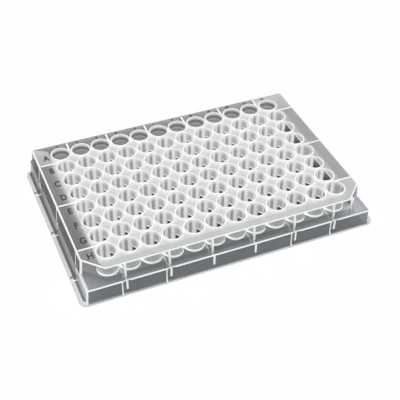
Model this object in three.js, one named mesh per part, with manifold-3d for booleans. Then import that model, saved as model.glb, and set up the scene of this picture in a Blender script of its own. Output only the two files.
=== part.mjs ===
// A 96-well plate: one injection-moulded piece of clear plastic, open underneath.
// Millimetres. X runs along the columns 1 to 12, Y from row H at the front to row A, Z up.
// The origin is the middle of the footprint, on the surface that the plate stands on.
import * as THREE from 'three';
import { mergeVertices } from 'three/addons/utils/BufferGeometryUtils.js';
import { ConvexGeometry } from 'three/addons/geometries/ConvexGeometry.js';
import Module from 'manifold-3d';

// Footprint and the flange round it
const baseLength = 127.76;
const baseWidth = 85.48;
const baseCornerRadius = 3;
const flangeHeight = 1.3;
const flangeTopInset = 0.3;
const flangeReachAtEnds = 2.3;
const flangeReachAtSides = 0.65;

// Lower skirt, from the flange up to the ledge
const ledgeHeight = 7.6;
const skirtDraftAtEnds = 0.48;
const skirtDraftAtSides = 0.15;
const skirtCornerRadius = 0.9;

// Upper wall, from the ledge up to the deck
const deckHeight = 14.5;
const ledgeWidthAtEnds = 0.15;
const ledgeWidthAtSides = 1.75;
const wallDraft = 0.7;
const frontCornerCut = 7.7;

// Wall thicknesses
const wallThickness = 1.1;
const ledgeThickness = 1.1;
const deckThickness = 1.3;

// Wells
const wellPitch = 9;
const wellDiameter = 7.5;
const wellTaper = 0.1;
const wellDepth = 8.55;
const wellWall = 0.7;
const wellFloor = 1.2;
const rimHeight = 0.85;
const deckMarginAtEnds = 6;
const deckMarginAtSides = 3;
const wellSides = 10;

// Ribs between the outermost wells and the walls
const ribThickness = 0.8;
const ribTipHeight = 2.3;
const ribDrop = 0.4;
const columnsPerRib = 2;
const rowsPerRib = 3;

// Shallow upright grooves in the skirt, outside the ribs
const grooveWidth = 3.8;
const grooveDepth = 0.4;
const plainMiddleRibs = 2;
const grooveSteps = 3;

const arcSteps = 2;
const cutOverrun = 1;

const wasm = await Module();
wasm.setup();

// Turns a closed three.js geometry into a solid that can be joined and cut.
function solid(geometry) {
  geometry.deleteAttribute('normal');
  geometry.deleteAttribute('uv');
  const merged = mergeVertices(geometry, 1e-4);
  const vertProperties = new Float32Array(merged.attributes.position.array);
  const triVerts = new Uint32Array(merged.index.array);
  return new wasm.Manifold(new wasm.Mesh({ numProp: 3, vertProperties, triVerts }));
}

// Turns a finished solid back into a three.js geometry.
function toGeometry(body) {
  const mesh = body.getMesh();
  const geometry = new THREE.BufferGeometry();
  geometry.setAttribute('position', new THREE.BufferAttribute(mesh.vertProperties, 3));
  geometry.setIndex(new THREE.BufferAttribute(mesh.triVerts, 1));
  geometry.computeVertexNormals();
  return geometry;
}

// Outline of a rectangle round the origin with sharp corners.
function plainOutline(halfLength, halfWidth) {
  const corners = [[1, 1], [-1, 1], [-1, -1], [1, -1]];
  return corners.map(([x, y]) => new THREE.Vector2(x * halfLength, y * halfWidth));
}

// Outline of a rectangle round the origin with every corner rounded.
function roundedOutline(halfLength, halfWidth, radius) {
  const shape = new THREE.Shape();
  const x = halfLength - radius;
  const y = halfWidth - radius;
  shape.absarc(x, y, radius, 0, Math.PI / 2);
  shape.absarc(-x, y, radius, Math.PI / 2, Math.PI);
  shape.absarc(-x, -y, radius, Math.PI, 1.5 * Math.PI);
  shape.absarc(x, -y, radius, 1.5 * Math.PI, 2 * Math.PI);
  return shape.getPoints(arcSteps);
}

// Outline of a rectangle whose two front corners are cut off at 45 degrees.
function cutOutline(halfLength, halfWidth, cut) {
  return [
    new THREE.Vector2(halfLength, halfWidth),
    new THREE.Vector2(-halfLength, halfWidth),
    new THREE.Vector2(-halfLength, -halfWidth + cut),
    new THREE.Vector2(-halfLength + cut, -halfWidth),
    new THREE.Vector2(halfLength - cut, -halfWidth),
    new THREE.Vector2(halfLength, -halfWidth + cut),
  ];
}

// Outline of a circle with wellSides straight sides.
function circleOutline(x, y, radius) {
  const shape = new THREE.Shape();
  shape.absarc(x, y, radius, 0, 2 * Math.PI);
  return shape.getSpacedPoints(wellSides).slice(0, wellSides);
}

// Convex block between a lower and an upper outline.
function draftedBlock(lower, lowerZ, upper, upperZ) {
  const points = lower.map((p) => new THREE.Vector3(p.x, p.y, lowerZ));
  points.push(...upper.map((p) => new THREE.Vector3(p.x, p.y, upperZ)));
  return solid(new ConvexGeometry(points));
}

// Half sizes of the skin at each height, worked inwards from the footprint
const skirtFoot = {
  x: baseLength / 2 - flangeReachAtEnds,
  y: baseWidth / 2 - flangeReachAtSides,
};
const skirtTop = {
  x: skirtFoot.x - skirtDraftAtEnds,
  y: skirtFoot.y - skirtDraftAtSides,
};
const wallFoot = {
  x: skirtTop.x - ledgeWidthAtEnds,
  y: skirtTop.y - ledgeWidthAtSides,
};
const deckEdge = {
  x: wallFoot.x - wallDraft,
  y: wallFoot.y - wallDraft,
};

// A corner cut at 45 degrees gets shorter by this much when its outline moves inwards.
const innerCut = frontCornerCut - (2 - Math.SQRT2) * wallThickness;

// Outer skin
const flange = draftedBlock(
  roundedOutline(baseLength / 2, baseWidth / 2, baseCornerRadius),
  0,
  roundedOutline(
    baseLength / 2 - flangeTopInset,
    baseWidth / 2 - flangeTopInset,
    baseCornerRadius - flangeTopInset,
  ),
  flangeHeight,
);
const skirt = draftedBlock(
  roundedOutline(skirtFoot.x, skirtFoot.y, skirtCornerRadius),
  flangeHeight / 2,
  roundedOutline(skirtTop.x, skirtTop.y, skirtCornerRadius),
  ledgeHeight,
);
const wall = draftedBlock(
  cutOutline(wallFoot.x, wallFoot.y, frontCornerCut),
  ledgeHeight - ledgeThickness / 2,
  cutOutline(deckEdge.x, deckEdge.y, frontCornerCut),
  deckHeight,
);

// Space inside the skin, open underneath
const ledgeUnderside = ledgeHeight - ledgeThickness;
const deckUnderside = deckHeight - deckThickness;
const lowerSpace = draftedBlock(
  plainOutline(skirtFoot.x - wallThickness, skirtFoot.y - wallThickness),
  -cutOverrun,
  plainOutline(skirtTop.x - wallThickness, skirtTop.y - wallThickness),
  ledgeUnderside,
);
const upperSpace = draftedBlock(
  cutOutline(wallFoot.x - wallThickness, wallFoot.y - wallThickness, innerCut),
  ledgeUnderside - cutOverrun,
  cutOutline(deckEdge.x - wallThickness, deckEdge.y - wallThickness, innerCut),
  deckUnderside,
);

let plate = flange.add(skirt).add(wall).subtract(lowerSpace).subtract(upperSpace);

// Well pattern, centred on the plate
const columns = Math.floor((2 * deckEdge.x - 2 * deckMarginAtEnds) / wellPitch);
const rows = Math.floor((2 * deckEdge.y - 2 * deckMarginAtSides) / wellPitch);
const columnX = (column) => (column - (columns - 1) / 2) * wellPitch;
const rowY = (row) => ((rows - 1) / 2 - row) * wellPitch;
const wellRadius = wellDiameter / 2;
const tubeRadius = wellRadius + wellWall;
const rimTop = deckHeight + rimHeight;
const wellBottom = rimTop - wellDepth;
const tubeBottom = wellBottom - wellFloor;

// Ribs: each one follows the skin from the deck down to its tip, then slants up to the wells,
// where it reaches ribDrop below the tubes.
const skinBite = wallThickness / 2;
function rib(axis, position, side) {
  const across = axis === 'x' ? 'y' : 'x';
  const outermost = Math.abs(across === 'x' ? columnX(0) : rowY(0));
  const profile = new THREE.Shape([
    new THREE.Vector2(outermost, deckHeight - deckThickness / 2),
    new THREE.Vector2(deckEdge[across] - skinBite, deckHeight - deckThickness / 2),
    new THREE.Vector2(wallFoot[across] - skinBite, ledgeHeight - ledgeThickness / 2),
    new THREE.Vector2(skirtTop[across] - skinBite, ledgeHeight - ledgeThickness / 2),
    new THREE.Vector2(skirtFoot[across] - skinBite, ribTipHeight),
    new THREE.Vector2(skirtFoot[across] - wallThickness, ribTipHeight),
    new THREE.Vector2(outermost + tubeRadius, tubeBottom - ribDrop),
    new THREE.Vector2(outermost, tubeBottom - ribDrop),
  ]);
  const geometry = new THREE.ExtrudeGeometry(profile, { depth: ribThickness, bevelEnabled: false });
  geometry.translate(0, 0, -ribThickness / 2);
  // The profile's first axis turns outwards, its second axis up.
  geometry.rotateX(Math.PI / 2);
  const turns = { x: { '-1': -1, 1: 1 }, y: { '-1': 2, 1: 0 } };
  geometry.rotateZ((turns[axis][side] * Math.PI) / 2);
  const offset = axis === 'x' ? [position, 0, 0] : [0, position, 0];
  geometry.translate(...offset);
  return solid(geometry);
}

// Groove cutter: an upright bar with a flat arc for a section, leaning with the skirt.
function groove(axis, position, side) {
  const across = axis === 'x' ? 'y' : 'x';
  const points = [];
  const addSection = (surface, z) => {
    for (let step = 0; step <= grooveSteps; step += 1) {
      const t = (2 * step) / grooveSteps - 1;
      const along = position + (t * grooveWidth) / 2;
      const inwards = grooveDepth * (1 - t * t);
      const place = new THREE.Vector3(0, 0, z);
      place[axis] = along;
      place[across] = side * (surface - inwards);
      points.push(place);
    }
    for (const end of [-1, 1]) {
      const place = new THREE.Vector3(0, 0, z);
      place[axis] = position + (end * grooveWidth) / 2;
      place[across] = side * (surface + cutOverrun);
      points.push(place);
    }
  };
  const rise = (skirtFoot[across] - skirtTop[across]) / (ledgeHeight - flangeHeight / 2);
  const surfaceAt = (z) => skirtTop[across] + rise * (ledgeHeight - z);
  addSection(surfaceAt(flangeHeight), flangeHeight);
  addSection(surfaceAt(ledgeHeight + cutOverrun), ledgeHeight + cutOverrun);
  return solid(new ConvexGeometry(points));
}

// Ribs on all four sides, each halfway between two wells
const ribColumns = [];
for (let column = 0; column + 1 < columns; column += columnsPerRib) {
  ribColumns.push(columnX(column) + wellPitch / 2);
}
const ribRows = [];
for (let row = 0; row + 1 < rows; row += rowsPerRib) {
  ribRows.push(rowY(row) - wellPitch / 2);
}
const plainFrom = (ribColumns.length - plainMiddleRibs) / 2;
for (const side of [-1, 1]) {
  ribColumns.forEach((x, index) => {
    plate = plate.add(rib('x', x, side));
    const plain = index >= plainFrom && index < plainFrom + plainMiddleRibs;
    if (!plain) {
      plate = plate.subtract(groove('x', x, side));
    }
  });
  ribRows.forEach((y) => {
    plate = plate.add(rib('y', y, side)).subtract(groove('y', y, side));
  });
}

// Wells: a tube with a floor through the deck, standing a little above it as a rim
for (let row = 0; row < rows; row += 1) {
  let tubes = null;
  let bores = null;
  for (let column = 0; column < columns; column += 1) {
    const x = columnX(column);
    const y = rowY(row);
    const tubeOutline = circleOutline(x, y, tubeRadius);
    const tube = draftedBlock(tubeOutline, tubeBottom, tubeOutline, rimTop);
    const bore = draftedBlock(
      circleOutline(x, y, wellRadius - wellTaper),
      wellBottom,
      circleOutline(x, y, wellRadius + (wellTaper * cutOverrun) / wellDepth),
      rimTop + cutOverrun,
    );
    tubes = tubes ? tubes.add(tube) : tube;
    bores = bores ? bores.add(bore) : bore;
  }
  plate = plate.add(tubes).subtract(bores);
}

const clearPlastic = new THREE.MeshStandardMaterial({
  color: 0xe4e8ea,
  roughness: 0.12,
  metalness: 0,
  transparent: true,
  opacity: 0.35,
});

const wellPlate = new THREE.Mesh(toGeometry(plate), clearPlastic);
wellPlate.name = 'well_plate';

const model = new THREE.Group();
model.add(wellPlate);

export default model;
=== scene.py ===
import math

import bmesh
import bpy
from mathutils import Matrix, Vector

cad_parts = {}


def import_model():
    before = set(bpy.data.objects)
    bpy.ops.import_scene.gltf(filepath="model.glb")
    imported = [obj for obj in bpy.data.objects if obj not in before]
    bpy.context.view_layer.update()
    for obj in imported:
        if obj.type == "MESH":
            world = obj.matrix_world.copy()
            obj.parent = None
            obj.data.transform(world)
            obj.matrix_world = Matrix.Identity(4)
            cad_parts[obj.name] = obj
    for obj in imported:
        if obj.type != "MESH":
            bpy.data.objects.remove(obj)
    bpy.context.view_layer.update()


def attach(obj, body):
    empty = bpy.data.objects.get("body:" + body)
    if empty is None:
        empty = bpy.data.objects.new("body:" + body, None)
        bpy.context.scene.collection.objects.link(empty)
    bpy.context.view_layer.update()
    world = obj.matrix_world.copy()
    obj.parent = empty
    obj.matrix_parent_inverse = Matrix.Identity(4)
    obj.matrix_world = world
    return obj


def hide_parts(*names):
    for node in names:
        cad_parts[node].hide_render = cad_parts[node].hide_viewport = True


MM = 0.001

# Skin of the plate: half sizes in millimetres at each height, as in the CAD part
BASE_HALF = (63.88, 42.74)
FLANGE_TOP_INSET = 0.3
FLANGE_HEIGHT = 1.3
FLANGE_CORNER_RADIUS = 3.0
SKIRT_FOOT_HALF = (61.58, 42.09)
SKIRT_TOP_HALF = (61.10, 41.94)
SKIRT_CORNER_RADIUS = 0.9
LEDGE_HEIGHT = 7.6
WALL_FOOT_HALF = (60.95, 40.19)
DECK_HALF = (60.25, 39.49)
DECK_HEIGHT = 14.5
CORNER_CUT = 7.7
BACK_CORNER_RADIUS = 0.7
WALL_THICKNESS = 1.1
LEDGE_THICKNESS = 1.1
DECK_THICKNESS = 1.3
INNER_CUT = CORNER_CUT - (2 - math.sqrt(2)) * WALL_THICKNESS
INNER_CORNER_RADIUS = 0.3
EDGE_BEVEL = 0.1
EDGE_BEVEL_MIDDLE = 0.03
LEDGE_BEVEL = 0.12
FLANGE_BEVEL = 0.12

# Wells
COLUMNS = 12
ROWS = 8
PITCH = 9.0
BORE_RADIUS = 3.75
BORE_TAPER = 0.1
TUBE_RADIUS = 4.45
RIM_TOP = 15.35
BORE_FLOOR = 6.8
TUBE_BOTTOM = 5.6
TUBE_BEVEL = 0.15
TUBE_END_BAND = 1.25
RIM_BEVEL = 0.22
BORE_FILLET = 0.3
WELL_SEGMENTS = 48

# Ribs and the grooves outside them
RIB_THICKNESS = 0.8
RIB_TIP = 2.3
RIB_DROP = 0.4
RIB_X = [(k - 2.5) * 2 * PITCH for k in range(6)]
RIB_Y = [(k - 1) * 3 * PITCH for k in range(3)]
GROOVE_HALF = 1.9
GROOVE_DEPTH = 0.4

# Painted highlights: bright lines along the moulding's edges, their widths, and how far they run down the
# walls
DECK_LINE_END = 0.55
DECK_LINE_SIDE = 0.3
DECK_LINE_DROP = 0.4
DECK_LINE_DROP_END = 0.7
LEDGE_LINE = 0.22
LEDGE_LINE_DROP = 0.65
RIM_LINE_INNER = 0.1

# The shaded band on the flange beside the end skirts
FLANGE_SHADE = 0.92
FLANGE_SHADE_RADIUS = FLANGE_CORNER_RADIUS - 1.2

# Heights on the flange's edge and the upper wall where the shade changes
FLANGE_LINE = 0.72
FOOT_LINE = 0.22
WALL_CLEAR_FROM = 9.9

# Where points stand round a corner, as shares of it, and beside each rib's middle
CORNER_STEPS = (0, 0.1, 0.22, 0.37, 0.5, 0.63, 0.78, 0.9, 1)
RIB_BREAKS = (-2.3, -1.8, -0.75, -RIB_THICKNESS / 2, RIB_THICKNESS / 2, 0.75, GROOVE_HALF)

FIELD_HALF = (COLUMNS * PITCH / 2, ROWS * PITCH / 2)

# Index marks: letters left of column 1 and numbers behind row A
LETTER_X = -55.95
LETTER_SIZE = 4.4
NUMBER_Y = 37.6
NUMBER_SIZE = 2.3
MARK_THICKNESS = 0.02
MARK_WEIGHT = 0.12
MARK_LIFT = 0.03
MARK_SCALE = (0.82, 1.1, 1)

# Painted glow: emission that each kind of surface is given, standing in for light carried in the clear
# plastic's thickness
EDGE_GLOW = 0.12
BORE_GLOW = 0.25
TUBE_GLOW = 0.4
TUBE_END_GLOW = 1.0
SKIRT_CORNER_GLOW = 0.4
SKIRT_END_INNER_GLOW = 1.0

# How far the streaks in a wall panel's colour are stretched along each axis
PANEL_STREAKS = (0.35, 0.35, 0.06)

# Stage: the lights with their angles in degrees, the light that the floor adds where it is seen, and
# the floor's half width and height in metres
WORLD_LEVEL = 0.22
SUN_STRENGTH = 2.32
SUN_WIDTH = 40
SUN_TURN = (13, 0, -23)
FLOOR_GLOW = 0.05
FLOOR_REACH = 3.0
FLOOR_HEIGHT = -2e-5

# Camera: angles in degrees, distance and lens in millimetres
CAMERA_AZIMUTH = -23.278
CAMERA_ELEVATION = 41.457
CAMERA_ROLL = -1.092
CAMERA_DISTANCE = 370.47
CAMERA_LENS = 76.92
CAMERA_SHIFT = (0.0136, -0.0058)


class Mesh:
    """Faces with a zone each, over shared points in millimetres."""

    def __init__(self):
        self.points = []
        self.found = {}
        self.faces = []
        self.zones = []

    def point(self, place):
        key = tuple(round(value, 4) for value in place)
        if key not in self.found:
            self.found[key] = len(self.points)
            self.points.append([value * MM for value in place])
        return self.found[key]

    def face(self, corners, zone):
        numbers = []
        for corner in corners:
            number = self.point(corner)
            if number not in numbers:
                numbers.append(number)
        if len(numbers) > 2:
            self.faces.append(numbers)
            self.zones.append(zone)

    def band(self, one, other, zones):
        """Faces between two closed loops of as many points. zones is one name, or one for each face."""
        count = len(one)
        for k in range(count):
            following = (k + 1) % count
            zone = zones if isinstance(zones, str) else zones[k]
            self.face([one[k], one[following], other[following], other[k]], zone)

    def finish(self, name, materials, smooth_angle=35):
        data = bpy.data.meshes.new(name)
        data.from_pydata(self.points, [], self.faces)
        used = set(self.zones)
        names = [zone for zone in materials if zone in used]
        for zone in names:
            data.materials.append(materials[zone])
        for polygon, zone in zip(data.polygons, self.zones):
            polygon.material_index = names.index(zone)
            polygon.use_smooth = True
        shape = bmesh.new()
        shape.from_mesh(data)
        bmesh.ops.remove_doubles(shape, verts=shape.verts, dist=1e-7)
        bmesh.ops.recalc_face_normals(shape, faces=shape.faces)
        for edge in shape.edges:
            if len(edge.link_faces) == 2:
                edge.smooth = edge.calc_face_angle(0) < math.radians(smooth_angle)
        shape.to_mesh(data)
        shape.free()
        piece = bpy.data.objects.new(name, data)
        bpy.context.scene.collection.objects.link(piece)
        return piece


def at_height(loop, height):
    return [(x, y, height) for x, y in loop]


def corner(x_sign, y_sign, half, size, cut):
    """Points of one corner, walked anticlockwise seen from above."""
    points = []
    start = {(1, -1): -90, (1, 1): 0, (-1, 1): 90, (-1, -1): 180}[x_sign, y_sign]
    middle = (x_sign * (half[0] - size), y_sign * (half[1] - size))
    first = math.radians(start)
    last = math.radians(start + 90)
    for t in CORNER_STEPS:
        if cut:
            x = middle[0] + size * ((1 - t) * math.cos(first) + t * math.cos(last))
            y = middle[1] + size * ((1 - t) * math.sin(first) + t * math.sin(last))
        else:
            turn = math.radians(start + 90 * t)
            x = middle[0] + size * math.cos(turn)
            y = middle[1] + size * math.sin(turn)
        points.append((x, y))
    return points


def has_groove(axis, rib):
    """Every rib has a groove outside it, but for the two in the middle of the front and back."""
    return axis == "y" or abs(rib) > PITCH * 2


def side_points(axis, sign, half, grooved):
    """Points along one straight side at the ribs' edges, walked anticlockwise."""
    ribs = RIB_X if axis == "x" else RIB_Y
    across = half[1] if axis == "x" else half[0]
    points = []
    for rib in ribs:
        for offset in RIB_BREAKS:
            depth = 0.0
            if grooved and has_groove(axis, rib) and abs(offset) < GROOVE_HALF:
                depth = GROOVE_DEPTH * (1 - (offset / GROOVE_HALF) ** 2)
            if axis == "x":
                points.append((rib + offset, sign * (across - depth)))
            else:
                points.append((sign * (across - depth), rib + offset))
    forwards = (axis == "x" and sign < 0) or (axis == "y" and sign > 0)
    return points if forwards else points[::-1]


def outline(half, front_size, front_cut, back_size, grooved=False):
    """Closed loop round the plate. Every outline has as many points, so that any two can be joined."""
    loop = side_points("x", -1, half, grooved)
    loop += corner(1, -1, half, front_size, front_cut)
    loop += side_points("y", 1, half, grooved)
    loop += corner(1, 1, half, back_size, False)
    loop += side_points("x", 1, half, grooved)
    loop += corner(-1, 1, half, back_size, False)
    loop += side_points("y", -1, half, grooved)
    loop += corner(-1, -1, half, front_size, front_cut)
    return loop


def segment_tags():
    """What each segment of an outline lies in: a plain side, an end, a rib, a groove's edge or a corner.
    The ends' segments beside the front corners have a tag of their own."""
    tags = []
    for axis, sign, front in (("x", -1, True), ("y", 1, False), ("x", 1, False), ("y", -1, True)):
        ribs = RIB_X if axis == "x" else RIB_Y
        forwards = (axis == "x" and sign < 0) or (axis == "y" and sign > 0)
        for rib in ribs:
            side = ["end" if axis == "y" else "plain"] * len(RIB_BREAKS)
            side[RIB_BREAKS.index(-RIB_THICKNESS / 2)] = "rib"
            if has_groove(axis, rib):
                side[0] = "groove"
            if not forwards:
                side = side[-2::-1] + side[-1:]
            tags += side
        corner_tags = ["corner"] * (len(CORNER_STEPS) - 1) + ["end" if axis == "x" else "plain"]
        corner_tags[2:6] = ["corner_middle"] * 4
        if front:
            corner_tags[0] = "corner_edge"
            if axis == "x":
                corner_tags[-2] = "corner_edge"
                corner_tags[-1] = "end_front"
            else:
                tags[-1] = "end_front"
        tags += corner_tags
    return tags


def inset(half, amount):
    return (half[0] - amount, half[1] - amount)


def deck_outline(at_ends, at_sides):
    """The deck's outline, drawn in by one amount at the plate's ends and another at its front and back."""
    cut = CORNER_CUT - (1 - math.sqrt(0.5)) * (at_ends + at_sides)
    half = (DECK_HALF[0] - at_ends, DECK_HALF[1] - at_sides)
    return outline(half, cut, True, max(BACK_CORNER_RADIUS - at_ends, 0.1))


def wall_outline(height):
    """The upper wall's outer face at a height between the ledge and the deck."""
    share = (DECK_HEIGHT - height) / (DECK_HEIGHT - LEDGE_HEIGHT)
    half = [deck + share * (foot - deck) for deck, foot in zip(DECK_HALF, WALL_FOOT_HALF)]
    return outline(half, CORNER_CUT, True, BACK_CORNER_RADIUS)


def skirt_outline(height, draw_in=0.0):
    """The skirt's outer face with its grooves, at a height between the foot and the ledge."""
    top_height = LEDGE_HEIGHT - LEDGE_BEVEL
    share = (top_height - height) / (top_height - FLANGE_HEIGHT)
    half = [top + share * (foot - top) for top, foot in zip(SKIRT_TOP_HALF, SKIRT_FOOT_HALF)]
    return outline(inset(half, draw_in), SKIRT_CORNER_RADIUS, False, SKIRT_CORNER_RADIUS, True)


def flange_outline(draw_in=0.0):
    """The flange's outer edge, drawn in by one amount all round."""
    radius = FLANGE_CORNER_RADIUS - draw_in
    return outline(inset(BASE_HALF, draw_in), radius, False, radius)


def inner_outline(half, cut):
    """The inner face of a wall whose outer face has these half sizes, with or without cut front corners."""
    front = INNER_CUT if cut else INNER_CORNER_RADIUS
    return outline(inset(half, WALL_THICKNESS), front, cut, INNER_CORNER_RADIUS)


def well_places():
    for row in range(ROWS):
        for column in range(COLUMNS):
            yield (column - (COLUMNS - 1) / 2) * PITCH, ((ROWS - 1) / 2 - row) * PITCH


def circle(x, y, radius, height):
    points = []
    for k in range(WELL_SEGMENTS):
        turn = 2 * math.pi * k / WELL_SEGMENTS
        points.append((x + radius * math.cos(turn), y + radius * math.sin(turn), height))
    return points


def cell_square(x, y, height):
    """The circle's points pushed out to the square round the well."""
    points = []
    for k in range(WELL_SEGMENTS):
        turn = 2 * math.pi * k / WELL_SEGMENTS
        stretch = PITCH / 2 / max(abs(math.cos(turn)), abs(math.sin(turn)))
        points.append((x + stretch * math.cos(turn), y + stretch * math.sin(turn), height))
    return points


def field_side(axis, sign, height):
    """Points on one side of the block of cells, in rising order."""
    per_cell = [
        PITCH / 2 * math.tan(2 * math.pi * k / WELL_SEGMENTS)
        for k in range(-WELL_SEGMENTS // 8, WELL_SEGMENTS // 8 + 1)
    ]
    count = COLUMNS if axis == "x" else ROWS
    edge = FIELD_HALF[1] if axis == "x" else FIELD_HALF[0]
    points = []
    for cell in range(count):
        middle = (cell - (count - 1) / 2) * PITCH
        for offset in per_cell[1 if cell else 0:]:
            if axis == "x":
                points.append((middle + offset, sign * edge, height))
            else:
                points.append((sign * edge, middle + offset, height))
    return points


def margin(mesh, loop, height, side_zones, corner_zones):
    """Flat faces between the block of cells and an outline round it: the front, right, back and left side,
    and the corner after each."""
    loop = at_height(loop, height)
    corner_count = len(CORNER_STEPS)
    front_count = len(RIB_X) * len(RIB_BREAKS)
    side_count = len(RIB_Y) * len(RIB_BREAKS)
    start = 0
    corners = []
    sides = []
    for count in (front_count, side_count, front_count, side_count):
        sides.append(loop[start:start + count])
        corners.append(loop[start + count:start + count + corner_count])
        start += count + corner_count
    field = [
        field_side("x", -1, height),
        field_side("y", 1, height),
        field_side("x", 1, height)[::-1],
        field_side("y", -1, height)[::-1],
    ]
    for k in range(4):
        edge = [corners[k - 1][-1]] + sides[k] + [corners[k][0]]
        mesh.face(edge + field[k][::-1], side_zones[k])
        mesh.face(corners[k] + [field[k][-1]], corner_zones[k])


def build_plate(materials):
    mesh = Mesh()
    tags = segment_tags()

    def zones(plain, **others):
        others.setdefault("end_front", others.get("end", plain))
        others.setdefault("corner_middle", others.get("corner", plain))
        return [others.get(tag, plain) for tag in tags]

    deck_line_foot = DECK_HEIGHT - DECK_LINE_DROP
    end_line_foot = DECK_HEIGHT - DECK_LINE_DROP_END
    ledge_bevel_foot = LEDGE_HEIGHT - LEDGE_BEVEL
    ledge_line_foot = LEDGE_HEIGHT - LEDGE_LINE_DROP
    under_deck = DECK_HEIGHT - DECK_THICKNESS
    under_ledge = LEDGE_HEIGHT - LEDGE_THICKNESS
    band_inner = deck_outline(DECK_LINE_END, DECK_LINE_SIDE)
    ledge_line_half = (SKIRT_TOP_HALF[0] - EDGE_BEVEL, SKIRT_TOP_HALF[1] - LEDGE_LINE)
    shade_half = (SKIRT_FOOT_HALF[0] + FLANGE_SHADE, SKIRT_FOOT_HALF[1] + 0.08)
    ledge_edge = zones("edge", end="skirt_end", end_front="edge")
    flange_edge = zones("skirt", end="flange", groove="edge", corner="flange", corner_edge="flange")

    # Outer skin from the deck down: outlines, their heights, and the zone of the band below each
    skin = [
        (band_inner, DECK_HEIGHT, "edge"),
        (deck_outline(EDGE_BEVEL, EDGE_BEVEL), DECK_HEIGHT, "edge"),
        (deck_outline(EDGE_BEVEL_MIDDLE, EDGE_BEVEL_MIDDLE), DECK_HEIGHT - EDGE_BEVEL_MIDDLE, "edge"),
        (wall_outline(DECK_HEIGHT - EDGE_BEVEL), DECK_HEIGHT - EDGE_BEVEL, "edge"),
        (
            wall_outline(deck_line_foot),
            deck_line_foot,
            zones("wall", end="edge", rib="edge", corner_edge="edge"),
        ),
        (
            wall_outline(end_line_foot),
            end_line_foot,
            zones("wall", end="wall_end", rib="edge", corner_edge="edge"),
        ),
        (
            wall_outline(WALL_CLEAR_FROM),
            WALL_CLEAR_FROM,
            zones("wall_foot", end="wall_end", rib="edge", corner_edge="edge"),
        ),
        (wall_outline(LEDGE_HEIGHT), LEDGE_HEIGHT, "ledge"),
        (
            outline(ledge_line_half, SKIRT_CORNER_RADIUS, False, SKIRT_CORNER_RADIUS),
            LEDGE_HEIGHT,
            ledge_edge,
        ),
        (skirt_outline(ledge_bevel_foot, 0.05), LEDGE_HEIGHT, ledge_edge),
        (skirt_outline(ledge_bevel_foot), ledge_bevel_foot, ledge_edge),
        (
            skirt_outline(ledge_line_foot),
            ledge_line_foot,
            zones("skirt", end="skirt_end", rib="edge", groove="edge", corner_middle="edge",
                  end_front="skirt_corner"),
        ),
        (
            skirt_outline(RIB_TIP),
            RIB_TIP,
            zones("skirt", end="skirt_end", groove="edge", corner_middle="edge", end_front="skirt_corner"),
        ),
        (
            skirt_outline(FLANGE_HEIGHT),
            FLANGE_HEIGHT,
            zones("skirt", end="flange_shade", groove="edge", corner="flange", corner_edge="flange"),
        ),
        (outline(shade_half, FLANGE_SHADE_RADIUS, False, FLANGE_SHADE_RADIUS), FLANGE_HEIGHT, flange_edge),
        (flange_outline(FLANGE_TOP_INSET + 0.2), FLANGE_HEIGHT, flange_edge),
        (flange_outline(FLANGE_TOP_INSET), FLANGE_HEIGHT - FLANGE_BEVEL, flange_edge),
        (flange_outline(0.12), FLANGE_LINE, "flange_side"),
        (flange_outline(0.04), FOOT_LINE, "line"),
        (flange_outline(), 0.0, "flange"),
    ]
    # Inner skin from the foot up
    skin += [
        (inner_outline(SKIRT_FOOT_HALF, False), 0.0, zones("skirt", end_front="skirt_end_inner")),
        (inner_outline(SKIRT_TOP_HALF, False), under_ledge, "ledge"),
        (inner_outline(WALL_FOOT_HALF, True), under_ledge, zones("wall", end="wall_end")),
        (inner_outline(DECK_HALF, True), under_deck, None),
    ]
    for (upper, top, zone), (lower, bottom, _) in zip(skin, skin[1:]):
        mesh.band(at_height(upper, top), at_height(lower, bottom), zone)

    margin(
        mesh,
        band_inner,
        DECK_HEIGHT,
        ("deck_front", "deck_right", "deck_back", "deck_left"),
        ("deck_front", "deck_right", "deck_left", "deck_left"),
    )
    margin(mesh, inner_outline(DECK_HALF, True), under_deck, ("clear",) * 4, ("clear",) * 4)

    for x, y in well_places():
        add_well(mesh, x, y)
    return mesh.finish("plate", materials)


def add_well(mesh, x, y):
    """One well in its square cell: the deck round it, the rim, the bore, and the tube below the deck."""
    around = bore_zones(x, y)
    profile = [
        (TUBE_RADIUS, DECK_HEIGHT, "edge"),
        (TUBE_RADIUS - 0.03, RIM_TOP - RIM_BEVEL, "edge"),
        (TUBE_RADIUS - 0.1, RIM_TOP - 0.06, "edge"),
        (TUBE_RADIUS - RIM_BEVEL, RIM_TOP, "edge"),
        (BORE_RADIUS + RIM_LINE_INNER, RIM_TOP - 0.01, around),
        (BORE_RADIUS + 0.06, RIM_TOP - 0.08, around),
        (BORE_RADIUS, RIM_TOP - 0.25, around),
        (BORE_RADIUS - BORE_TAPER, BORE_FLOOR + BORE_FILLET, "frosted"),
        (BORE_RADIUS - BORE_TAPER - BORE_FILLET, BORE_FLOOR, "frosted"),
    ]
    add_turned(mesh, x, y, DECK_HEIGHT, deck_zones(x, y), profile)

    # Only the outermost tubes get the painted glow of tube and tube_end, as if lit from the sides
    outermost = abs(x) + PITCH > FIELD_HALF[0] or abs(y) + PITCH > FIELD_HALF[1]
    under_deck = DECK_HEIGHT - DECK_THICKNESS
    tube = [
        (TUBE_RADIUS, under_deck, "tube" if outermost else "frosted"),
        (TUBE_RADIUS, TUBE_BOTTOM + TUBE_END_BAND, "tube_end" if outermost else "frosted"),
        (TUBE_RADIUS - 0.03, TUBE_BOTTOM + 0.12, "frosted"),
        (TUBE_RADIUS - TUBE_BEVEL, TUBE_BOTTOM, "frosted"),
        (TUBE_RADIUS - 0.9, TUBE_BOTTOM, "frosted"),
    ]
    add_turned(mesh, x, y, under_deck, "field", tube)


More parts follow.
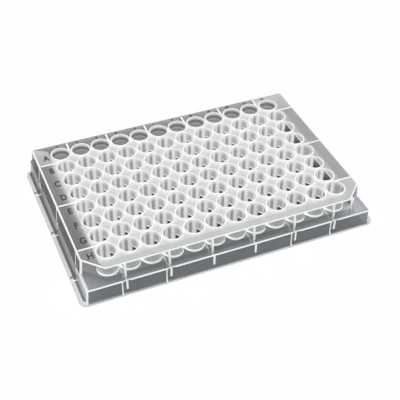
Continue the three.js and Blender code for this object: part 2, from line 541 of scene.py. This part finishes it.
def add_turned(mesh, x, y, height, cell_zones, profile):
    """A cell's flat square, and from the circle in it a surface turned from (radius, height, zone) rows."""
    loops = [circle(x, y, radius, level) for radius, level, _ in profile]
    mesh.band(cell_square(x, y, height), loops[0], cell_zones)
    for k in range(len(profile) - 1):
        mesh.band(loops[k], loops[k + 1], profile[k][2])
    mesh.face(loops[-1], profile[-1][2])


def quadrant_zone(x, y, across, along):
    """What stands beside one quarter of a bore: other tubes, the plate's side wall, or a rib."""
    if abs(y + along * PITCH) > FIELD_HALF[1]:
        return "bore_level"
    if abs(x + across * PITCH) > FIELD_HALF[0]:
        return "bore_plain" if y + along * PITCH / 2 in RIB_Y else "bore_gap"
    return "bore"


def bore_zones(x, y):
    zones = []
    for k in range(WELL_SEGMENTS):
        turn = 2 * math.pi * (k + 0.5) / WELL_SEGMENTS
        zones.append(quadrant_zone(x, y, math.copysign(1, math.cos(turn)), math.copysign(1, math.sin(turn))))
    return zones


def deck_zones(x, y):
    """The deck round a rim is milky, but clear behind row A and right of column 12."""
    zones = []
    for k in range(WELL_SEGMENTS):
        turn = 2 * math.pi * (k + 0.5) / WELL_SEGMENTS
        if math.cos(turn) > 0 and x + PITCH > FIELD_HALF[0]:
            zones.append("deck_right")
        elif math.sin(turn) > 0 and y + PITCH > FIELD_HALF[1]:
            zones.append("deck_back")
        else:
            zones.append("field")
    return zones


def rib_profile(axis, shows):
    """(across, height) points of a rib, from the wells out to the skin and back. A rib that shows reaches
    through the clear deck and leaves a line on it."""
    k = 1 if axis == "x" else 0
    outermost = FIELD_HALF[k] - PITCH / 2
    bite = WALL_THICKNESS * 0.7
    under_deck = DECK_HEIGHT - DECK_THICKNESS + 0.1
    top = DECK_HEIGHT + 0.02 if shows else under_deck
    start = outermost + 1.7 if shows else DECK_HALF[k] - bite - 0.5
    return [
        (outermost + 1.0, under_deck),
        (start, under_deck),
        (start, top),
        (DECK_HALF[k] - bite, top),
        (WALL_FOOT_HALF[k] - bite, LEDGE_HEIGHT - LEDGE_THICKNESS + 0.1),
        (SKIRT_TOP_HALF[k] - bite, LEDGE_HEIGHT - LEDGE_THICKNESS + 0.1),
        (SKIRT_FOOT_HALF[k] - bite, RIB_TIP),
        (SKIRT_FOOT_HALF[k] - WALL_THICKNESS - 0.2, RIB_TIP),
        (outermost + TUBE_RADIUS, TUBE_BOTTOM - RIB_DROP),
        (outermost + 1.0, TUBE_BOTTOM - RIB_DROP),
    ]


def build_ribs(materials):
    mesh = Mesh()
    for axis, ribs in (("x", RIB_X), ("y", RIB_Y)):
        for sign in (-1, 1):
            profile = rib_profile(axis, axis == "y" or sign > 0)
            for rib in ribs:
                sides = []
                for shift in (-RIB_THICKNESS / 2, RIB_THICKNESS / 2):
                    if axis == "x":
                        sides.append([(rib + shift, sign * across, z) for across, z in profile])
                    else:
                        sides.append([(sign * across, rib + shift, z) for across, z in profile])
                mesh.face(sides[0], "clear")
                mesh.face(sides[1], "clear")
                # The ribs' narrow faces take the edge zone's painted highlight, seen as bright lines
                mesh.band(sides[0], sides[1], "edge")
    return mesh.finish("ribs", materials)


def build_marks(material):
    """Row letters at the left of each row and column numbers behind row A."""
    marks = []
    texts = []
    for row in range(ROWS):
        place = (LETTER_X, ((ROWS - 1) / 2 - row) * PITCH)
        texts.append(("row", chr(ord("A") + row), place, LETTER_SIZE))
    for column in range(COLUMNS):
        place = ((column - (COLUMNS - 1) / 2) * PITCH, NUMBER_Y)
        texts.append(("column", str(column + 1), place, NUMBER_SIZE))
    for kind, text, (x, y), size in texts:
        curve = bpy.data.curves.new("mark", "FONT")
        curve.body = text
        curve.size = size * MM
        curve.align_x = "CENTER"
        curve.align_y = "CENTER"
        curve.extrude = MARK_THICKNESS * MM
        curve.offset = MARK_WEIGHT * MM
        thing = bpy.data.objects.new("mark_" + kind + "_" + text, curve)
        thing.location = Vector((x, y, DECK_HEIGHT + MARK_LIFT)) * MM
        thing.scale = MARK_SCALE
        bpy.context.scene.collection.objects.link(thing)
        marks.append(thing)
    bpy.context.view_layer.update()
    graph = bpy.context.evaluated_depsgraph_get()
    joined = bmesh.new()
    for thing in marks:
        part = bpy.data.meshes.new_from_object(thing.evaluated_get(graph))
        part.transform(thing.matrix_world)
        joined.from_mesh(part)
        bpy.data.objects.remove(thing)
        bpy.data.meshes.remove(part)
    data = bpy.data.meshes.new("index_marks")
    joined.to_mesh(data)
    joined.free()
    data.materials.clear()
    data.materials.append(material)
    piece = bpy.data.objects.new("index_marks", data)
    bpy.context.scene.collection.objects.link(piece)
    return piece


def painted_glow(material, strength):
    """A painted glow: emission in the material's own colour, standing in for light that the clear plastic
    carries in its thickness.
    """
    tree = material.node_tree
    shader = tree.nodes["Principled BSDF"]
    base = shader.inputs["Base Color"]
    if base.is_linked:
        tree.links.new(base.links[0].from_socket, shader.inputs["Emission Color"])
    else:
        shader.inputs["Emission Color"].default_value = base.default_value
    shader.inputs["Emission Strength"].default_value = strength
    return material


def principled(name, color=None, roughness=0.15, **sockets):
    """A material of one colour, or without a colour where nodes give it one later."""
    material = bpy.data.materials.new(name)
    material.use_nodes = True
    shader = material.node_tree.nodes["Principled BSDF"]
    if color:
        shader.inputs["Base Color"].default_value = (*color, 1)
    shader.inputs["Roughness"].default_value = roughness
    for key, value in sockets.items():
        shader.inputs[key.replace("_", " ")].default_value = value
    return material


def ramp(tree, factor, stops):
    """A nearly gray colour that changes along a factor by (place, level) stops."""
    node = tree.nodes.new("ShaderNodeValToRGB")
    elements = node.color_ramp.elements
    while len(elements) < len(stops):
        elements.new(0.5)
    for element, (place, value) in zip(elements, stops):
        element.position = place
        element.color = (value, value * 1.005, value * 0.995, 1)
    tree.links.new(factor, node.inputs["Fac"])
    return node.outputs["Color"]


def math_node(tree, operation, first, second=None, third=None):
    """A Math node on links or plain numbers."""
    node = tree.nodes.new("ShaderNodeMath")
    node.operation = operation
    for socket, value in zip(node.inputs, (first, second, third)):
        if value is None:
            continue
        if isinstance(value, (int, float)):
            socket.default_value = value
        else:
            tree.links.new(value, socket)
    return node.outputs[0]


def object_axes(tree):
    """The place on the plate along x, y and z, in metres from the middle of its foot."""
    place = tree.nodes.new("ShaderNodeTexCoord")
    axes = tree.nodes.new("ShaderNodeSeparateXYZ")
    tree.links.new(place.outputs["Object"], axes.inputs[0])
    return axes.outputs


def well_axes(tree):
    """Distance across from the well's middle over the bore's radius, and height in the bore from 0 to 1."""
    x, _, z = object_axes(tree)
    half = PITCH / 2 * MM
    across = math_node(tree, "WRAP", math_node(tree, "SUBTRACT", x, half), half, -half)
    share = math_node(tree, "DIVIDE", math_node(tree, "ABSOLUTE", across), BORE_RADIUS * MM)
    height = math_node(tree, "SUBTRACT", z, BORE_FLOOR * MM)
    return share, math_node(tree, "DIVIDE", height, (RIM_TOP - BORE_FLOOR) * MM)


def mix(tree, factor, under, over):
    """One colour over another. over is a link or a plain colour."""
    node = tree.nodes.new("ShaderNodeMix")
    node.data_type = "RGBA"
    tree.links.new(factor, node.inputs["Factor"])
    tree.links.new(under, node.inputs["A"])
    if isinstance(over, tuple):
        node.inputs["B"].default_value = (*over, 1)
    else:
        tree.links.new(over, node.inputs["B"])
    return node.outputs["Result"]


def scaled(tree, color, factor):
    """A colour times a factor. color is a link or a plain colour."""
    node = tree.nodes.new("ShaderNodeVectorMath")
    node.operation = "SCALE"
    if isinstance(color, tuple):
        node.inputs[0].default_value = color
    else:
        tree.links.new(color, node.inputs[0])
    tree.links.new(factor, node.inputs["Scale"])
    return node.outputs[0]


def streaks(tree, color, amount, scale):
    """Fine upright streaks and mottling of the moulding over a colour."""
    place = tree.nodes.new("ShaderNodeTexCoord")
    stretch = tree.nodes.new("ShaderNodeMapping")
    stretch.inputs["Scale"].default_value = scale
    noise = tree.nodes.new("ShaderNodeTexNoise")
    noise.inputs["Scale"].default_value = 1000
    noise.inputs["Detail"].default_value = 3
    tree.links.new(place.outputs["Object"], stretch.inputs["Vector"])
    tree.links.new(stretch.outputs["Vector"], noise.inputs["Vector"])
    return scaled(tree, color, math_node(tree, "MULTIPLY_ADD", noise.outputs["Fac"], amount, 1 - amount / 2))


def set_color(material, color):
    """Link a colour to the material's base colour."""
    tree = material.node_tree
    tree.links.new(color, tree.nodes["Principled BSDF"].inputs["Base Color"])
    return material


def streaked(name, color, roughness, amount, scale, **sockets):
    material = principled(name, roughness=roughness, **sockets)
    return set_color(material, streaks(material.node_tree, color, amount, scale))


def bore_material(name, upright, gap=None):
    """A bore with painted shade and highlights standing for its neighbours seen through a clear wall:
    upright says how light it is from the bore's middle out to both sides. A gap between tubes is painted
    dark low down, under a painted bright line. It begins at gap's first share of the radius, its top runs
    from the second value to the third, and the fourth shades it by height."""
    material = principled(name, roughness=0.2)
    tree = material.node_tree
    share, height = well_axes(tree)
    color = streaks(tree, ramp(tree, share, upright), 0.4, (1.2, 1.2, 0.1))
    # Painted highlight: the bore's top turns pale towards the rim
    color = mix(tree, ramp(tree, height, ((0.8, 0), (0.93, 0.6))), color, (0.92, 0.93, 0.91))
    if gap:
        start, first_height, last_height, shades = gap
        slope = (first_height - last_height) / (1 - start)
        line = math_node(tree, "MULTIPLY_ADD", share, -slope, first_height + slope * start)
        below = math_node(tree, "SUBTRACT", line, height)
        inside = math_node(tree, "GREATER_THAN", share, start)
        bright = ramp(tree, math_node(tree, "ADD", below, 0.5), ((0.4, 0), (0.43, 1)))
        dark = ramp(tree, math_node(tree, "ADD", below, 0.5), ((0.49, 0), (0.51, 1)))
        color = mix(tree, math_node(tree, "MULTIPLY", bright, inside), color, (0.93, 0.94, 0.92))
        color = mix(tree, math_node(tree, "MULTIPLY", dark, inside), color, ramp(tree, height, shades))
    return painted_glow(set_color(material, color), BORE_GLOW)


def bore_materials():
    """Painted shade patterns for bores beside other tubes, beside the open space within the end walls, and
    beside a rib there.
    """
    # Stops of painted light and shade across a bore, from its middle out
    inner = (
        (0, 0.36), (0.14, 0.4), (0.24, 0.84), (0.46, 0.84),
        (0.6, 0.56), (0.86, 0.46), (0.95, 0.62), (1, 0.95),
    )
    outer = (
        (0, 0.55), (0.12, 0.62), (0.2, 0.9), (0.36, 0.9),
        (0.5, 0.62), (0.62, 0.44), (0.88, 0.44), (1, 0.62),
    )
    return {
        "bore": bore_material("bore", inner, (0.62, 0.44, 0.42, ((0, 0.035), (1, 0.035)))),
        "bore_gap": bore_material("bore_gap", outer, (0.5, 0.9, 0.6, ((0.35, 0.05), (0.8, 0.26)))),
        "bore_plain": bore_material("bore_plain", outer),
    }


def bore_level_material():
    """Painted level bands of light and shade where a bore faces the plate's own side wall, standing for the
    deck's thickness, then the ledge, seen through the wall.
    """
    material = principled("bore_level", Alpha=0.95)
    tree = material.node_tree
    height = well_axes(tree)[1]
    stops = (
        (0.3, 0.07), (0.35, 0.1), (0.38, 0.39), (0.42, 0.38), (0.46, 0.28), (0.53, 0.28), (0.57, 0.42),
        (0.61, 0.42), (0.67, 0.28), (0.73, 0.19), (0.79, 0.16), (0.84, 0.3), (0.88, 0.68), (1, 0.8),
    )
    color = streaks(tree, ramp(tree, height, stops), 0.2, (0.4, 0.4, 0.1))
    return painted_glow(set_color(material, color), BORE_GLOW)


def strip_material(name, axis, near, far, stops, milky, along=(1, 1)):
    """The clear deck beside the wells, its colour painted light and shade. The painted shade follows the
    distance from the plate's middle along one axis, and along the other runs from along's first factor to
    its last. Beyond the outermost ribs it is milky, on the sides that milky names by their signs, with a
    painted shade for each."""
    material = principled(name, Alpha=0.86)
    tree = material.node_tree
    away = math_node(tree, "ABSOLUTE", object_axes(tree)[axis])
    share = math_node(tree, "DIVIDE", math_node(tree, "SUBTRACT", away, near * MM), (far - near) * MM)
    color = ramp(tree, share, stops)
    other = object_axes(tree)[1 - axis]
    last_rib = (RIB_Y if axis == 0 else RIB_X)[-1] * MM
    slope = (along[1] - along[0]) / (2 * last_rib)
    factor = math_node(tree, "MULTIPLY_ADD", other, slope, (along[0] + along[1]) / 2)
    color = scaled(tree, color, factor)
    for sign, shade in milky.items():
        beyond = math_node(tree, "MULTIPLY", other, sign)
        haze_and_shade = (shade, shade * 1.02, shade * 1.01)
        color = mix(tree, math_node(tree, "GREATER_THAN", beyond, last_rib), color, haze_and_shade)
    return set_color(material, streaks(tree, color, 0.15, (0.15, 0.15, 0.15)))


def panel_material(name, color, alpha, gloss=0.5):
    return streaked(name, color, 0.1, 0.35, PANEL_STREAKS, Alpha=alpha, Specular_IOR_Level=gloss)


def skirt_material():
    """The front and back skirts, tinted slate as painted shade, with painted light making them a little
    lighter towards the foot.
    """
    material = principled("skirt", roughness=0.1, Alpha=0.66)
    tree = material.node_tree
    height = math_node(tree, "DIVIDE", object_axes(tree)[2], LEDGE_HEIGHT * MM)
    color = streaks(tree, (0.098, 0.115, 0.13), 0.35, PANEL_STREAKS)
    low = ramp(tree, height, ((0.15, 1), (0.85, 0)))
    return set_color(material, mix(tree, low, color, (0.15, 0.168, 0.18)))


def skirt_end_material():
    """The outside of the end skirts, painted in shades of gray, with painted light making them lighter in
    the lower half.
    """
    material = principled("skirt_end", roughness=0.1, Alpha=0.95, Specular_IOR_Level=0.15)
    tree = material.node_tree
    height = math_node(tree, "DIVIDE", object_axes(tree)[2], LEDGE_HEIGHT * MM)
    stops = ((0.15, 0.42), (0.3, 0.48), (0.5, 0.44), (0.66, 0.35), (0.8, 0.3), (0.97, 0.27))
    return set_color(material, ramp(tree, height, stops))


def build_materials():
    """A material for each zone of the plate and the ribs."""
    # Painted shade across the deck strips, set for each side
    left_stops = ((0, 0.56), (0.2, 0.3), (0.6, 0.22), (1, 0.23))
    right_stops = ((0, 0.6), (0.12, 0.54), (0.25, 0.46), (1, 0.44))
    back_stops = ((0, 0.23), (0.3, 0.24), (0.5, 0.3), (0.65, 0.31), (1, 0.28))
    # Painted light with a painted glow: the end skirts' segments beside the front corners, their inner faces
    # there, and the outermost tubes and their ends
    skirt_corner = principled("skirt_corner", (0.34, 0.35, 0.37), Alpha=0.9)
    skirt_end_inner = principled("skirt_end_inner", (0.8, 0.81, 0.84), 0.2, Alpha=0.9)
    tube = principled("tube", (0.85, 0.87, 0.86), Alpha=0.75)
    tube_end = principled("tube_end", (0.95, 0.96, 0.96), 0.3)
    return {
        # The edge zone is painted highlight: the bright lines along edges, rims and ribs, white with a
        # painted glow
        "edge": painted_glow(principled("white", (0.96, 0.97, 0.97), 0.35), EDGE_GLOW),
        # The walls, ledge and skirts are tinted slate as painted shade, for the dark seen through the clear
        # plastic; the end walls and the wall's lower part are painted darker
        "wall": panel_material("wall", (0.08, 0.095, 0.105), 0.16, 0.15),
        "wall_end": panel_material("wall_end", (0.052, 0.06, 0.065), 0.65, 0.02),
        "wall_foot": panel_material("wall_foot", (0.07, 0.082, 0.09), 0.45, 0.15),
        "ledge": panel_material("ledge", (0.15, 0.165, 0.175), 0.42),
        "skirt": skirt_material(),
        "skirt_end": skirt_end_material(),
        "skirt_corner": painted_glow(skirt_corner, SKIRT_CORNER_GLOW),
        "skirt_end_inner": painted_glow(skirt_end_inner, SKIRT_END_INNER_GLOW),
        "flange": principled("flange", (0.76, 0.77, 0.78), 0.2, Alpha=0.92),
        "flange_shade": panel_material("flange_shade", (0.165, 0.177, 0.188), 0.85, 0.1),
        "flange_side": principled("flange_side", (0.9, 0.91, 0.92), 0.2, Alpha=0.95),
        "line": principled("line", (0.3, 0.32, 0.32), 0.2),
        "field": streaked("milky", (0.72, 0.735, 0.71), 0.35, 0.22, (0.5, 0.5, 0.5), Alpha=0.95),
        "deck_front": streaked("front", (0.63, 0.65, 0.63), 0.35, 0.25, (0.25, 0.25, 0.25), Alpha=0.92),
        "deck_left": strip_material("strip_left", 0, 54, 60, left_stops, {1: 0.57, -1: 0.33}, (0.85, 1.4)),
        "deck_right": strip_material("strip_right", 0, 54, 60, right_stops, {1: 0.59, -1: 0.66}),
        "deck_back": strip_material("strip_back", 1, 36, 40, back_stops, {1: 0.57}, (0.9, 1.2)),
        "clear": principled("clear", (0.8, 0.82, 0.82), 0.08, Alpha=0.03),
        **bore_materials(),
        "bore_level": bore_level_material(),
        "frosted": principled("frosted", (0.7, 0.72, 0.72), Alpha=0.9),
        "tube": painted_glow(tube, TUBE_GLOW),
        "tube_end": painted_glow(tube_end, TUBE_END_GLOW),
    }


def build_stage():
    """A plain white floor, an even world and one soft sun."""
    data = bpy.data.meshes.new("floor")
    signs = ((-1, -1), (1, -1), (1, 1), (-1, 1))
    corners = [(x * FLOOR_REACH, y * FLOOR_REACH, FLOOR_HEIGHT) for x, y in signs]
    data.from_pydata(corners, [], [(0, 1, 2, 3)])
    floor = bpy.data.objects.new("floor", data)
    bpy.context.scene.collection.objects.link(floor)
    material = principled("floor", (1, 1, 1), 0.9, Specular_IOR_Level=0, Emission_Color=(1, 1, 1, 1))
    tree = material.node_tree
    path = tree.nodes.new("ShaderNodeLightPath").outputs
    seen = math_node(tree, "MAXIMUM", path["Is Camera Ray"], path["Is Glossy Ray"])
    seen = math_node(tree, "MAXIMUM", seen, path["Is Transmission Ray"])
    glow = math_node(tree, "MULTIPLY", seen, FLOOR_GLOW)
    tree.links.new(glow, tree.nodes["Principled BSDF"].inputs["Emission Strength"])
    data.materials.append(material)

    world = bpy.data.worlds.new("studio")
    world.use_nodes = True
    world.node_tree.nodes["Background"].inputs["Color"].default_value = (1, 1, 1, 1)
    world.node_tree.nodes["Background"].inputs["Strength"].default_value = WORLD_LEVEL
    bpy.context.scene.world = world

    lamp = bpy.data.lights.new("key", "SUN")
    lamp.energy = SUN_STRENGTH
    lamp.angle = math.radians(SUN_WIDTH)
    thing = bpy.data.objects.new("key", lamp)
    thing.rotation_euler = [math.radians(turn) for turn in SUN_TURN]
    bpy.context.scene.collection.objects.link(thing)


def build_camera():
    """The camera looks at the middle of the plate's foot, and leans a little to one side."""
    azimuth = math.radians(CAMERA_AZIMUTH)
    elevation = math.radians(CAMERA_ELEVATION)
    roll = math.radians(CAMERA_ROLL)
    back = Vector((
        math.sin(azimuth) * math.cos(elevation),
        -math.cos(azimuth) * math.cos(elevation),
        math.sin(elevation),
    ))
    right = Vector((math.cos(azimuth), math.sin(azimuth), 0))
    up = back.cross(right)
    rolled_right = right * math.cos(roll) - up * math.sin(roll)
    rolled_up = right * math.sin(roll) + up * math.cos(roll)
    data = bpy.data.cameras.new("camera")
    data.sensor_width = 36
    data.lens = CAMERA_LENS
    data.shift_x, data.shift_y = CAMERA_SHIFT
    data.clip_start = 0.01
    data.clip_end = 20
    camera = bpy.data.objects.new("camera", data)
    place = Matrix((rolled_right, rolled_up, back)).transposed().to_4x4()
    place.translation = back * CAMERA_DISTANCE * MM
    camera.matrix_world = place
    bpy.context.scene.collection.objects.link(camera)
    bpy.context.scene.camera = camera


def main():
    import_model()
    build_camera()
    build_stage()
    materials = build_materials()
    plate = build_plate(materials)
    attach(plate, "root")
    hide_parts("well_plate")
    ribs = build_ribs(materials)
    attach(ribs, "root")
    marks = build_marks(principled("ink", (0.04, 0.048, 0.048), 0.5))
    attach(marks, "root")
    bpy.context.scene.view_settings.view_transform = "Standard"


main()
